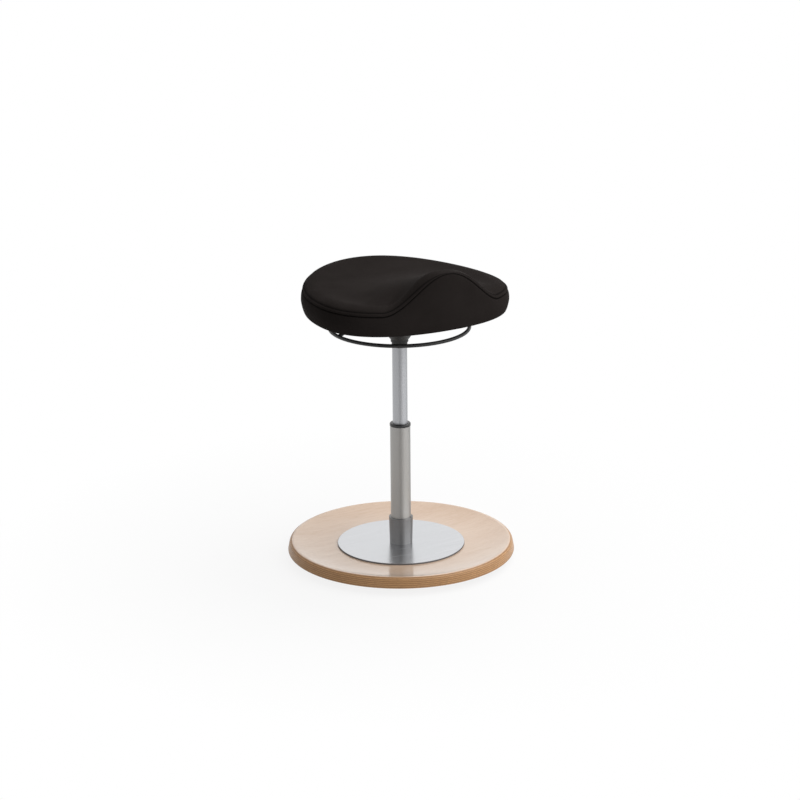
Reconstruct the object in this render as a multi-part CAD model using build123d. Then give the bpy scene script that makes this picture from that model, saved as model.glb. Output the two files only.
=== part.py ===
"""A swivel stool on a dished plywood base: saddle seat, gas column and release ring.

Millimetres, +Z up. The origin is on the floor, on the column's axis, and the raised
front of the seat points to -Y. The seat is drawn at its highest position.
"""
import math
import os

from build123d import *

os.makedirs("parts", exist_ok=True)

# Fits
RUN_GAP = 0.05
SEAT_GAP = 0.05
SOFT_GAP = 0.3

# Base: a dished plywood disc on a rubber ring
PAD_PROUD = 1.5
PAD_OUTER_D = 228.0
PAD_WIDTH = 12.0
PAD_INNER_D = PAD_OUTER_D - 2 * PAD_WIDTH
PAD_GAP = 0.5
PAD_GROOVE = 2.0
PLY_THICK = 22.0
FLAT_R = 122.0
RIM_BEND_R = 328.0
RIM_TOP_ANGLE = 15.6
RIM_LOW_ANGLE = 15.33
RIM_TOP_ROUND = 7.5
RIM_LOW_ROUND = 2.5
WOOD_LOW_Z = PAD_PROUD
WOOD_TOP_Z = WOOD_LOW_Z + PLY_THICK
PLATE_D = 240.0
PLATE_THICK = 3.0
PLATE_TOP_Z = WOOD_TOP_Z + PLATE_THICK
BASE_SCREW_COUNT = 6
BASE_SCREW_PITCH_R = 84.0
BASE_SCREW_D = 6.0
BASE_SCREW_HEAD_D = 13.0
BASE_SCREW_HEAD = 3.6
BASE_SCREW_SINK = 5.0
BASE_SCREW_KEY = 4.0

# Column: tapered foot in a collar, with a plastic guide bush on top
COLLAR_HEIGHT = 51.0
COLLAR_LOW_D = 42.8
COLLAR_TOP_D = 45.3
COLLAR_TOP_Z = PLATE_TOP_Z + COLLAR_HEIGHT
TUBE_D = 38.0
TUBE_WALL = 1.5
TUBE_FOOT_Z = 12.0
TUBE_FOOT_D = 35.0
TUBE_TOP_Z = 258.0
TUBE_HOLE_D = 42.0
BUSH_FLANGE_D = 39.6
BUSH_FLANGE = 5.5
BUSH_ROUND = 2.6
BUSH_DEPTH = 72.0
FOOT_DISC = 3.0

# Thrust bearing under the rod
WASHER_D = 24.0
WASHER_THICK = 1.5
BALL_D = 4.0
BALL_COUNT = 10
BALL_PITCH_R = 8.6
CAGE_THICK = 1.2
CAGE_OUTER_R = 11.2
CAGE_INNER_R = 5.6
FOOT_TOP_Z = TUBE_FOOT_Z + FOOT_DISC
CAGE_Z = FOOT_TOP_Z + WASHER_THICK
UPPER_WASHER_Z = CAGE_Z + BALL_D
ROD_SHOULDER_Z = UPPER_WASHER_Z + WASHER_THICK

# Gas spring
STROKE = 140.0
ROD_D = 10.0
ROD_END_D = 7.0
ROD_END_Z = 7.5
CLIP_D = 14.0
CLIP_THICK = 1.2
CLIP_GROOVE = 0.7
BUMPER_D = 22.0
BUMPER_HEIGHT = 12.0
BUMPER_REST = 1.0
GAS_TUBE_D = 28.0
GAS_TUBE_WALL = 1.5
GAS_TUBE_LOW_Z = ROD_SHOULDER_Z + BUMPER_HEIGHT + BUMPER_REST + STROKE
GAS_TUBE_TOP_Z = 458.0
GAS_TUBE_TIP_D = 26.0
ROD_GUIDE_HEIGHT = 22.0
ROD_GUIDE_INSET = 2.0
ROD_SEAL_HEIGHT = 6.0
PISTON_HEIGHT = 14.0
PISTON_REST = 2.0
PISTON_BOLT_D = 6.0
PISTON_RING = 3.0
PISTON_RING_DEPTH = 2.0
VALVE_HEIGHT = 54.0
VALVE_INSET = 3.0
PIN_D = 5.0
PIN_LENGTH = 40.0
PIN_TRAVEL = 3.0

# Hub under the seat: cone socket, spun bell, trigger plate and release ring
SEAT_PLATE_Z = GAS_TUBE_TOP_Z + 24.3
SOCKET_LIP_Z = GAS_TUBE_TOP_Z - 46.0
SOCKET_LIP_R = 14.7
SOCKET_Z = GAS_TUBE_TOP_Z - 36.3
SOCKET_R = 16.5
BELL_LOW_Z = GAS_TUBE_TOP_Z - 30.0
BELL_WAIST_Z = GAS_TUBE_TOP_Z - 22.0
BELL_WAIST_R = 24.0
BELL_EDGE_Z = SEAT_PLATE_Z - 19.3
BELL_EDGE_R = 60.0
BELL_WALL = 2.0
BELL_SLOT_HALF = 9.0
SEAT_PLATE_THICK = 3.0
SEAT_PLATE_SIDE = 176.0
SEAT_PLATE_ROUND = 22.0
SEAT_PLATE_HOLE_D = 30.0
SEAT_BOLT_X = 66.0
SEAT_BOLT_D = 8.0
SEAT_BOLT_HEAD_D = 16.0
SEAT_BOLT_HEAD = 4.5
SEAT_BOLT_KEY = 5.0
TRIGGER_GAP = 0.2
TRIGGER_Z = SEAT_PLATE_Z - 15.8
TRIGGER_THICK = 3.0
TRIGGER_LENGTH = 74.0
TRIGGER_DEPTH = 50.0
TRIGGER_PIVOT_Y = -25.0
KNUCKLE_D = 11.0
KNUCKLE_HALF = 26.0
PIVOT_Z = SEAT_PLATE_Z - 11.3
PIVOT_D = 5.0
PIVOT_HALF = 31.0
EAR_THICK = 3.0
EAR_WIDTH = 14.0
EAR_X = 27.0
RING_R = 129.5
RING_WIRE_D = 7.0
RING_Z = SEAT_PLATE_Z - 32.3
ARM_BEND_X = 76.0
ARM_BEND_R = 16.0
ARM_END_X = 20.0

# Seat cushion: plan outline, side wall and saddle-shaped top
SEAT_LOW_Z = SEAT_PLATE_Z + 1.0
SEAT_FORWARD = 35.0
SEAT_HALF_WIDTH = 189.0
SEAT_REAR_R = 223.0
SEAT_FRONT_R = 161.7
SEAT_CORNER_POWER = 2.83
SEAT_TUCK = 9.0
SEAT_TUCK_HEIGHT = 21.0
SEAM_SIDE_Z = SEAT_LOW_Z + 37.2
SEAM_REAR_RISE = 10.0
POMMEL_RISE = 64.0
POMMEL_HALF = 130.0
POMMEL_FRONT_Y = -185.0
POMMEL_REAR_Y = 55.0
POMMEL_EASE = 0.08
SHOULDER = 13.0
DISH_DEPTH = 7.0
COVER_WRAP = 4.0
BOARD_Z = SEAT_PLATE_Z + SEAT_PLATE_THICK
BOARD_THICK = 12.0
BOARD_INSET = SEAT_TUCK + COVER_WRAP
TEE_NUT_FLANGE_D = 19.0
TEE_NUT_FLANGE = 1.5
TEE_NUT_BARREL_D = 10.0
TEE_NUT_BARREL = 9.0
LINER_THICK = 0.8
LINER_INSET = BOARD_INSET + 6.0
LINER_PLATE_GAP = 1.5
OUTLINE_POINTS = 24
GRID_POINTS = 16
GRID_HALF = 225.0
GRID_TOLERANCE = 0.1


def save(shape, node):
    export_step(shape, f"parts/{node}.step")


def disc(diameter, low, high):
    """A solid cylinder on the column's axis between two heights."""
    return Pos(0, 0, low) * extrude(Circle(diameter / 2), high - low)


def ring(outer, inner, low, high):
    """A plain ring on the column's axis between two heights."""
    return disc(outer, low, high) - disc(inner, low - 1, high + 1)


def turned(*points):
    """A solid turned about the column's axis from (radius, height) points."""
    return revolve(Plane.XZ * make_face(Polyline(*points, close=True)), Axis.Z)


def hex_key(size, depth):
    """A hexagonal key socket, its open end at the origin and its floor above."""
    return extrude(RegularPolygon(size / math.sqrt(3), 6), depth)


def around(count, radius):
    """Places evenly round the column's axis."""
    return PolarLocations(radius, count)


def bolt_places():
    """The four bolt places under the seat."""
    return GridLocations(2 * SEAT_BOLT_X, 2 * SEAT_BOLT_X, 2, 2)


def widest_edges(shape):
    """The full circles of a turned solid, the widest last."""
    circles = shape.edges().filter_by(GeomType.CIRCLE)
    return circles.filter_by(lambda edge: edge.is_closed).sort_by(lambda edge: edge.radius)


def tube_radius(z):
    """Outer radius of the column's tube, which tapers in the collar."""
    share = min(1.0, (z - TUBE_FOOT_Z) / (COLLAR_TOP_Z - TUBE_FOOT_Z))
    return (TUBE_FOOT_D + (TUBE_D - TUBE_FOOT_D) * share) / 2


# Base

def rocker_base():
    """The dish: a flat middle whose rim bends up, its edge cut nearly upright."""
    bend_z = WOOD_TOP_Z + RIM_BEND_R
    low_r = RIM_BEND_R + PLY_THICK

    def bend(radius, degrees):
        turn = math.radians(degrees)
        return FLAT_R + radius * math.sin(turn), bend_z - radius * math.cos(turn)

    low_edge, top_edge = bend(low_r, RIM_LOW_ANGLE), bend(RIM_BEND_R, RIM_TOP_ANGLE)
    outline = Polyline((0, WOOD_TOP_Z), (0, WOOD_LOW_Z), (FLAT_R, WOOD_LOW_Z))
    outline += ThreePointArc(bend(low_r, 0), bend(low_r, RIM_LOW_ANGLE / 2), low_edge)
    outline += Line(low_edge, top_edge)
    outline += ThreePointArc(top_edge, bend(RIM_BEND_R, RIM_TOP_ANGLE / 2), bend(RIM_BEND_R, 0))
    outline += Line((FLAT_R, WOOD_TOP_Z), (0, WOOD_TOP_Z))
    dish = revolve(Plane.XZ * make_face(outline), Axis.Z)
    dish = fillet(widest_edges(dish)[-2], RIM_TOP_ROUND)
    dish = fillet(widest_edges(dish)[-1], RIM_LOW_ROUND)
    dish -= ring(PAD_OUTER_D, PAD_INNER_D, WOOD_LOW_Z - 1, WOOD_LOW_Z + PAD_GROOVE)
    dish -= disc(TUBE_HOLE_D, 0, WOOD_TOP_Z + 1)
    for place in around(BASE_SCREW_COUNT, BASE_SCREW_PITCH_R):
        dish -= place * disc(BASE_SCREW_HEAD_D + 1, 0, WOOD_LOW_Z + BASE_SCREW_SINK)
        dish -= place * disc(BASE_SCREW_D + 0.5, 0, WOOD_TOP_Z + 1)
    return dish


def floor_ring():
    """The rubber ring in the dish's groove, on which the stool stands."""
    return ring(PAD_OUTER_D - 2 * PAD_GAP, PAD_INNER_D + 2 * PAD_GAP, 0, WOOD_LOW_Z + PAD_GROOVE)


def base_plate():
    plate = ring(PLATE_D, 2 * tube_radius(PLATE_TOP_Z) + 2 * SEAT_GAP, WOOD_TOP_Z, PLATE_TOP_Z)
    plate = chamfer(plate.edges().group_by(Axis.Z)[-1].sort_by(lambda edge: edge.radius)[-1], 0.4)
    for place in around(BASE_SCREW_COUNT, BASE_SCREW_PITCH_R):
        plate -= place * disc(BASE_SCREW_D + 2 * SEAT_GAP, WOOD_TOP_Z - 1, PLATE_TOP_Z - 0.6)
    return plate


def base_screws():
    """Six low-head screws that come up through the wood into the plate."""
    head_z = WOOD_LOW_Z + BASE_SCREW_SINK - BASE_SCREW_HEAD
    top_z = head_z + BASE_SCREW_HEAD
    screw = disc(BASE_SCREW_HEAD_D, head_z, top_z) + disc(BASE_SCREW_D, top_z, PLATE_TOP_Z - 1)
    screw -= Pos(0, 0, head_z) * hex_key(BASE_SCREW_KEY, BASE_SCREW_HEAD - 1)
    return Compound(children=[place * screw for place in around(BASE_SCREW_COUNT, BASE_SCREW_PITCH_R)])


def column_collar():
    """The tapered collar welded on the plate, bored to the tube's own taper."""
    low_r = tube_radius(PLATE_TOP_Z) + SEAT_GAP
    top_r = tube_radius(COLLAR_TOP_Z) + SEAT_GAP
    collar = turned((low_r, PLATE_TOP_Z), (COLLAR_LOW_D / 2, PLATE_TOP_Z),
                    (COLLAR_TOP_D / 2, COLLAR_TOP_Z), (top_r, COLLAR_TOP_Z))
    return chamfer(collar.edges().group_by(Axis.Z)[-1].sort_by(lambda edge: edge.radius)[-1], 0.5)


def column_tube():
    """The standing tube: straight above the collar, tapered in it."""
    foot_r, top_r = tube_radius(TUBE_FOOT_Z), tube_radius(COLLAR_TOP_Z)
    return turned((foot_r - TUBE_WALL, TUBE_FOOT_Z), (foot_r, TUBE_FOOT_Z), (top_r, COLLAR_TOP_Z),
                  (top_r, TUBE_TOP_Z), (top_r - TUBE_WALL, TUBE_TOP_Z), (top_r - TUBE_WALL, COLLAR_TOP_Z))


def guide_bush():
    """The plastic bush in the tube's mouth, with a rounded flange on top."""
    bore = GAS_TUBE_D + 2 * RUN_GAP
    bush = disc(TUBE_D - 2 * TUBE_WALL - 2 * SEAT_GAP, TUBE_TOP_Z - BUSH_DEPTH, TUBE_TOP_Z)
    flange = disc(BUSH_FLANGE_D, TUBE_TOP_Z, TUBE_TOP_Z + BUSH_FLANGE)
    flange = fillet(flange.edges().group_by(Axis.Z)[-1], BUSH_ROUND)
    return bush + flange - disc(bore, TUBE_TOP_Z - BUSH_DEPTH - 1, TUBE_TOP_Z + BUSH_FLANGE + 1)


def foot_disc():
    """The pressed disc that closes the tube's foot and carries the bearing."""
    edge = 2 * (tube_radius(TUBE_FOOT_Z) - TUBE_WALL - SEAT_GAP)
    return ring(edge, ROD_END_D + 2 * RUN_GAP, TUBE_FOOT_Z, FOOT_TOP_Z)


def bearing_cage():
    """The cage and its balls, held a hair off both washers."""
    ball_r = BALL_D / 2 - RUN_GAP / 2
    mid_z = CAGE_Z + BALL_D / 2
    cage = ring(2 * CAGE_OUTER_R, 2 * CAGE_INNER_R, mid_z - CAGE_THICK / 2, mid_z + CAGE_THICK / 2)
    for place in around(BALL_COUNT, BALL_PITCH_R):
        cage += place * Pos(0, 0, mid_z) * Sphere(ball_r)
    return cage


# Gas spring

ROD_GUIDE_TOP_Z = GAS_TUBE_LOW_Z + ROD_GUIDE_INSET + ROD_GUIDE_HEIGHT
PISTON_Z = ROD_GUIDE_TOP_Z + ROD_SEAL_HEIGHT + PISTON_REST
PISTON_TOP_Z = PISTON_Z + PISTON_HEIGHT
GAS_BORE_D = GAS_TUBE_D - 2 * GAS_TUBE_WALL
CLIP_Z = TUBE_FOOT_Z - 0.1 - CLIP_THICK
VALVE_TOP_Z = GAS_TUBE_TOP_Z - VALVE_INSET
PIN_TOP_Z = TRIGGER_Z - TRIGGER_GAP


def piston_rod():
    """The polished rod: a stepped foot through the bearing, a bolt end in the piston."""
    rod = disc(ROD_END_D, ROD_END_Z, ROD_SHOULDER_Z) + disc(ROD_D, ROD_SHOULDER_Z, PISTON_Z)
    rod += disc(PISTON_BOLT_D, PISTON_Z, PISTON_TOP_Z + 2)
    return rod - ring(ROD_END_D + 1, ROD_END_D - 2 * CLIP_GROOVE, CLIP_Z, CLIP_Z + CLIP_THICK)


def rod_clip():
    """The open spring clip that keeps the rod from lifting out of the foot."""
    groove_d = ROD_END_D - 2 * CLIP_GROOVE
    clip = ring(CLIP_D, groove_d + 2 * SEAT_GAP, CLIP_Z + SEAT_GAP, CLIP_Z + CLIP_THICK - SEAT_GAP)
    mouth = Pos(CLIP_D / 2, 0, CLIP_Z) * Box(CLIP_D, groove_d, 4 * CLIP_THICK)
    return clip - mouth


def piston():
    body = ring(GAS_BORE_D - 2 * RUN_GAP, PISTON_BOLT_D + 2 * SEAT_GAP, PISTON_Z, PISTON_TOP_Z)
    return body - ring(GAS_BORE_D, GAS_BORE_D - 2 * PISTON_RING_DEPTH, *piston_ring_heights())


def piston_ring_heights():
    mid_z = (PISTON_Z + PISTON_TOP_Z) / 2
    return mid_z - PISTON_RING / 2, mid_z + PISTON_RING / 2


def piston_ring():
    low, high = piston_ring_heights()
    inner = GAS_BORE_D - 2 * PISTON_RING_DEPTH + 2 * SEAT_GAP
    return ring(GAS_BORE_D - 2 * RUN_GAP, inner, low + SEAT_GAP, high - SEAT_GAP)


def piston_nut():
    nut = extrude(RegularPolygon(5.5, 6), 2.0) - Cylinder(PISTON_BOLT_D / 2 + SEAT_GAP, 10)
    return Pos(0, 0, PISTON_TOP_Z) * nut


def bump_stop():
    """The rubber stop round the rod that the gas tube lands on at its lowest."""
    stop = ring(BUMPER_D, ROD_D + 0.2, ROD_SHOULDER_Z, ROD_SHOULDER_Z + BUMPER_HEIGHT)
    return chamfer(stop.edges().group_by(Axis.Z)[-1].sort_by(lambda edge: edge.radius)[-1], 2)


def gas_tube():
    """The pressure tube, open at both ends, with its tip tapered for the socket."""
    outer, tip, bore = GAS_TUBE_D / 2, GAS_TUBE_TIP_D / 2, GAS_BORE_D / 2
    tip_bore = tip - GAS_TUBE_WALL
    return turned((bore, GAS_TUBE_LOW_Z), (outer, GAS_TUBE_LOW_Z), (outer, SOCKET_LIP_Z),
                  (tip, GAS_TUBE_TOP_Z), (tip_bore, GAS_TUBE_TOP_Z), (bore, SOCKET_LIP_Z))


def rod_guide():
    low = GAS_TUBE_LOW_Z + ROD_GUIDE_INSET
    return ring(GAS_BORE_D - 2 * SEAT_GAP, ROD_D + 2 * RUN_GAP, low, low + ROD_GUIDE_HEIGHT)


def rod_seal():
    low = ROD_GUIDE_TOP_Z
    return ring(GAS_BORE_D - 2 * SEAT_GAP, ROD_D + 2 * RUN_GAP, low, low + ROD_SEAL_HEIGHT)


def valve_body():
    """The valve block in the tube's tip, bored for the pin."""
    edge = GAS_TUBE_TIP_D / 2 - GAS_TUBE_WALL - SEAT_GAP
    low_z = VALVE_TOP_Z - VALVE_HEIGHT
    pin_r = PIN_D / 2 + RUN_GAP
    floor_z = PIN_TOP_Z - PIN_LENGTH - PIN_TRAVEL - 1
    block = disc(2 * edge, low_z, VALVE_TOP_Z)
    return block - disc(2 * pin_r, floor_z, VALVE_TOP_Z + 1)


def release_pin():
    """The valve pin, with a domed tip under the trigger plate."""
    dome_r = 5.0
    body = disc(PIN_D, PIN_TOP_Z - PIN_LENGTH, PIN_TOP_Z)
    return body & Pos(0, 0, PIN_TOP_Z - dome_r) * (Sphere(dome_r) + disc(PIN_D, -PIN_LENGTH, 0))


# Hub and release ring

def cone_socket():
    """The steel sleeve that grips the gas tube's tip."""
    low_r, top_r = GAS_TUBE_D / 2 + SEAT_GAP, GAS_TUBE_TIP_D / 2 + SEAT_GAP
    return turned((low_r, SOCKET_LIP_Z), (SOCKET_LIP_R, SOCKET_LIP_Z), (SOCKET_LIP_R, SOCKET_Z),
                  (SOCKET_R, SOCKET_Z), (SOCKET_R, GAS_TUBE_TOP_Z), (top_r, GAS_TUBE_TOP_Z))


def hub_bell():
    """The spun bell from the socket to the seat plate, slotted for the ring's arms."""
    inner = SOCKET_R + SEAT_GAP
    edge_inner, waist_inner = BELL_EDGE_R - BELL_WALL, BELL_WAIST_R - BELL_WALL
    bell = turned((inner, BELL_LOW_Z), (inner + BELL_WALL, BELL_LOW_Z), (BELL_WAIST_R, BELL_WAIST_Z),
                  (BELL_EDGE_R, BELL_EDGE_Z), (BELL_EDGE_R, SEAT_PLATE_Z), (edge_inner, SEAT_PLATE_Z),
                  (edge_inner, BELL_EDGE_Z + 1), (waist_inner, BELL_WAIST_Z + 1), (inner, BELL_LOW_Z + 3))
    slot_low = PIVOT_Z - RING_WIRE_D - 4
    slot = Box(4 * BELL_EDGE_R, 2 * BELL_SLOT_HALF, 40, align=(Align.CENTER, Align.CENTER, Align.MIN))
    return bell - Pos(0, 0, slot_low) * slot


def seat_plate():
    """The bolted plate under the seat, with two ears that hold the trigger's pivot."""
    plate = extrude(RectangleRounded(SEAT_PLATE_SIDE, SEAT_PLATE_SIDE, SEAT_PLATE_ROUND), SEAT_PLATE_THICK)
    plate = Pos(0, 0, SEAT_PLATE_Z) * plate
    plate -= disc(SEAT_PLATE_HOLE_D, SEAT_PLATE_Z - 1, BOARD_Z + 1)
    for place in bolt_places():
        plate -= place * disc(SEAT_BOLT_D + 1, SEAT_PLATE_Z - 1, BOARD_Z + 1)
    drop = SEAT_PLATE_Z - PIVOT_Z
    for side in (-1, 1):
        eye = Pos(side * (EAR_X + EAR_THICK / 2), TRIGGER_PIVOT_Y, PIVOT_Z)
        ear = eye * Pos(0, 0, drop / 2) * Box(EAR_THICK, EAR_WIDTH, drop)
        ear += eye * Rot(0, 90, 0) * Cylinder(EAR_WIDTH / 2, EAR_THICK)
        ear -= eye * Rot(0, 90, 0) * Cylinder(PIVOT_D / 2 + SEAT_GAP, 2 * EAR_THICK)
        plate += ear
    return plate


def pivot_pin():
    return Pos(0, TRIGGER_PIVOT_Y, PIVOT_Z) * Rot(0, 90, 0) * Cylinder(PIVOT_D / 2, 2 * PIVOT_HALF)


def trigger_plate():
    """The plate over the valve pin, rolled round its pivot at the front."""
    mid_y, mid_z = TRIGGER_PIVOT_Y + TRIGGER_DEPTH / 2, TRIGGER_Z + TRIGGER_THICK / 2
    plate = Pos(0, mid_y, mid_z) * Box(2 * KNUCKLE_HALF, TRIGGER_DEPTH, TRIGGER_THICK)
    plate += Pos(0, 0, mid_z) * Box(TRIGGER_LENGTH, TRIGGER_DEPTH / 2, TRIGGER_THICK)
    knuckle = Pos(0, TRIGGER_PIVOT_Y, PIVOT_Z) * Rot(0, 90, 0)
    plate += knuckle * Cylinder(KNUCKLE_D / 2, 2 * KNUCKLE_HALF)
    return plate - knuckle * Cylinder(PIVOT_D / 2 + RUN_GAP, 4 * KNUCKLE_HALF)


def release_ring():
    """The wire ring, with an arm on each side that bends up to the trigger plate."""
    arm_z = TRIGGER_Z + TRIGGER_THICK + RING_WIRE_D / 2 + SEAT_GAP
    hoop = Pos(0, 0, RING_Z) * Torus(RING_R, RING_WIRE_D / 2)
    for side in (-1, 1):
        start, bend = (side * ARM_END_X, 0, arm_z), (side * ARM_BEND_X, 0, arm_z)
        path = FilletPolyline(start, bend, (side * RING_R, 0, RING_Z), radius=ARM_BEND_R)
        section = Plane(origin=start, z_dir=(side, 0, 0)) * Circle(RING_WIRE_D / 2)
        hoop += sweep(section, path)
    return hoop


# Seat

def outline_radius(turn):
    """Plan radius of the seat about its own middle; turn 0 is the front."""
    side, ahead = math.sin(turn), math.cos(turn)
    oval = math.hypot(side / SEAT_HALF_WIDTH, ahead / SEAT_REAR_R)
    flat = max(ahead, 0.0) / SEAT_FRONT_R
    return (oval ** SEAT_CORNER_POWER + flat ** SEAT_CORNER_POWER) ** (-1 / SEAT_CORNER_POWER)


def outline(z, inset):
    """The seat's closed plan outline at one height, drawn in by an inset."""
    points = []
    for step in range(OUTLINE_POINTS):
        turn = 2 * math.pi * step / OUTLINE_POINTS
        radius = outline_radius(turn) - inset
        points.append((radius * math.sin(turn), -SEAT_FORWARD - radius * math.cos(turn)))
    return Pos(0, 0, z) * make_face(Spline(*points, periodic=True))


def slab(low, high, inset):
    """A flat piece with the seat's outline between two heights."""
    return extrude(outline(low, inset), high - low)


def top_height(x, y):
    """The saddle: rear rim, dished middle and a ridge that rises to the front."""
    rear = max(y, 0.0) / (SEAT_REAR_R - SEAT_FORWARD)
    share = min(1.0, max(0.0, (POMMEL_REAR_Y - y) / (POMMEL_REAR_Y - POMMEL_FRONT_Y)))
    ridge = (1 + POMMEL_EASE) * share ** 2 / (share + POMMEL_EASE)
    across = math.cos(math.pi / 2 * min(1.0, abs(x) / POMMEL_HALF)) ** 2
    middle = max(0.0, 1 - math.hypot(x, y + SEAT_FORWARD) ** 2 / SEAT_HALF_WIDTH ** 2)
    rise = SEAM_REAR_RISE * rear ** 2 + POMMEL_RISE * ridge * across
    return SEAM_SIDE_Z + SHOULDER + rise - DISH_DEPTH * middle


def under_top():
    """Everything under the saddle surface."""
    steps = [-GRID_HALF + 2 * GRID_HALF * step / (GRID_POINTS - 1) for step in range(GRID_POINTS)]
    points = [[Vector(x, y, top_height(x, y)) for y in steps] for x in steps]
    surface = Face.make_surface_from_array_of_points(points, tol=GRID_TOLERANCE)
    return extrude(surface, 2 * GRID_HALF, dir=(0, 0, -1))


def seat_cushion():
    """Foam and cover in one: tucked foot, straight wall, round shoulder and saddle top."""
    wall_z = SEAT_LOW_Z + SEAT_TUCK_HEIGHT
    foot = loft([outline(SEAT_LOW_Z, SEAT_TUCK), outline(wall_z, 0)], ruled=True)
    wall = slab(wall_z, SEAM_SIDE_Z + POMMEL_RISE + 4 * SHOULDER, 0)
    form = (wall & under_top()).solid()
    rim = form.edges().filter_by(lambda edge: edge.is_closed).sort_by(Axis.Z)[-1]
    pocket = slab(SEAT_LOW_Z - 1, BOARD_Z + BOARD_THICK + SOFT_GAP, BOARD_INSET - SOFT_GAP)
    return form.fillet(SHOULDER, [rim]) + (foot - pocket)


def seat_board():
    """The plywood board in the seat's base, with four recessed tee nuts."""
    board_top = BOARD_Z + BOARD_THICK
    board = slab(BOARD_Z, board_top, BOARD_INSET)
    for place in bolt_places():
        board -= place * disc(TEE_NUT_BARREL_D + 2 * SEAT_GAP, BOARD_Z - 1, board_top)
        board -= place * disc(TEE_NUT_FLANGE_D + 1, board_top - TEE_NUT_FLANGE, board_top + 1)
    return board


def tee_nuts():
    board_top = BOARD_Z + BOARD_THICK
    nut = disc(TEE_NUT_FLANGE_D, board_top - TEE_NUT_FLANGE, board_top)
    nut += disc(TEE_NUT_BARREL_D, board_top - TEE_NUT_BARREL, board_top - TEE_NUT_FLANGE)
    nut -= disc(SEAT_BOLT_D + 2 * SEAT_GAP, BOARD_Z, board_top + 1)
    return Compound(children=[place * nut for place in bolt_places()])


def seat_bolts():
    """Four button-head bolts from below, each with a key socket."""
    head_z = SEAT_PLATE_Z - SEAT_BOLT_HEAD
    head = disc(SEAT_BOLT_HEAD_D, head_z, SEAT_PLATE_Z)
    head = fillet(head.edges().group_by(Axis.Z)[0], SEAT_BOLT_HEAD / 2)
    bolt = head + disc(SEAT_BOLT_D, SEAT_PLATE_Z, BOARD_Z + BOARD_THICK - 1)
    bolt -= Pos(0, 0, head_z) * hex_key(SEAT_BOLT_KEY, SEAT_BOLT_HEAD - 1.5)
    return Compound(children=[place * bolt for place in bolt_places()])


def seat_liner():
    """The thin black cloth under the board, cut out round the seat plate."""
    top = BOARD_Z - 0.1
    side = SEAT_PLATE_SIDE + 2 * LINER_PLATE_GAP
    hole = extrude(RectangleRounded(side, side, SEAT_PLATE_ROUND + LINER_PLATE_GAP), 10)
    return slab(top - LINER_THICK, top, LINER_INSET) - Pos(0, 0, top - 5) * hole


if __name__ == "__main__":
    save(rocker_base(), "rocker_base")
    save(floor_ring(), "floor_ring")
    save(base_plate(), "base_plate")
    save(base_screws(), "base_screws")
    save(column_collar(), "column_collar")
    save(column_tube(), "column_tube")
    save(guide_bush(), "guide_bush")
    save(foot_disc(), "foot_disc")
    save(ring(WASHER_D, ROD_END_D + 1, FOOT_TOP_Z, CAGE_Z), "lower_race")
    save(bearing_cage(), "bearing_cage")
    save(ring(WASHER_D, ROD_END_D + 2 * SEAT_GAP, UPPER_WASHER_Z, ROD_SHOULDER_Z), "upper_race")
    save(piston_rod(), "piston_rod")
    save(rod_clip(), "rod_clip")
    save(piston(), "piston")
    save(piston_ring(), "piston_ring")
    save(piston_nut(), "piston_nut")
    save(bump_stop(), "bump_stop")
    save(gas_tube(), "gas_tube")
    save(rod_guide(), "rod_guide")
    save(rod_seal(), "rod_seal")
    save(valve_body(), "valve_body")
    save(release_pin(), "release_pin")
    save(cone_socket(), "cone_socket")
    save(hub_bell(), "hub_bell")
    save(seat_plate(), "seat_plate")
    save(pivot_pin(), "pivot_pin")
    save(trigger_plate(), "trigger_plate")
    save(release_ring(), "release_ring")
    save(seat_cushion(), "seat_cushion")
    save(seat_board(), "seat_board")
    save(tee_nuts(), "tee_nuts")
    save(seat_bolts(), "seat_bolts")
    save(seat_liner(), "seat_liner")
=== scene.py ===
import math

import bmesh
import bpy
from mathutils import Matrix, Vector
from mathutils.bvhtree import BVHTree


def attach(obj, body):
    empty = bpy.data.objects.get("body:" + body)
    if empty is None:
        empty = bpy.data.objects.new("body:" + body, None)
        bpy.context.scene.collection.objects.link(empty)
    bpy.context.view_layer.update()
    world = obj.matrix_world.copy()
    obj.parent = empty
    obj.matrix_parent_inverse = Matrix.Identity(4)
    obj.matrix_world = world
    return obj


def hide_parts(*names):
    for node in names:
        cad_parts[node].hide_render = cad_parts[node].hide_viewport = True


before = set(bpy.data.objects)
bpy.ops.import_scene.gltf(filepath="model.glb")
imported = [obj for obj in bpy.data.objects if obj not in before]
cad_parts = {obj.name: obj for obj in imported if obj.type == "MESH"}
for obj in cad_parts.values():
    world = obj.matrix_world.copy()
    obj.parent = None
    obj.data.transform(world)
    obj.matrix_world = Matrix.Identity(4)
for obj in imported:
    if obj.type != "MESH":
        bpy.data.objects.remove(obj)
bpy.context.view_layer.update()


# Plywood dish: beech veneers pressed in a mould, so the middle is flat and the rim bends up.
# The edge is cut nearly upright and shows the plies; the whole disc has a clear satin lacquer.
DISH_FLAT_RADIUS = 0.122
DISH_TOP_HEIGHT = 0.0235
DISH_BEND_RADIUS = 0.328
PLY_THICKNESS = 0.00169
PLY_WAVER = 0.0002
FACE_VENEER_FROM = 0.0009
FACE_VENEER_TO = 0.0016
GLUE_SHARE = 0.14
VENEER_PALE = (0.725, 0.548, 0.415, 1)
VENEER_WARM = (0.655, 0.470, 0.338, 1)
PLY_LONG_GRAIN = (0.62, 0.36, 0.175, 1)
PLY_END_GRAIN = (0.44, 0.235, 0.105, 1)
PLY_GLUE = (0.17, 0.085, 0.04, 1)
GRAIN_TURN = math.radians(24)
GRAIN_SCALE = (26, 420, 420)
BAND_SCALE = (1.6, 24, 24)
FLECK_SCALE = (90, 900, 900)
EDGE_STREAK_SCALE = (160, 160, 900)


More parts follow.
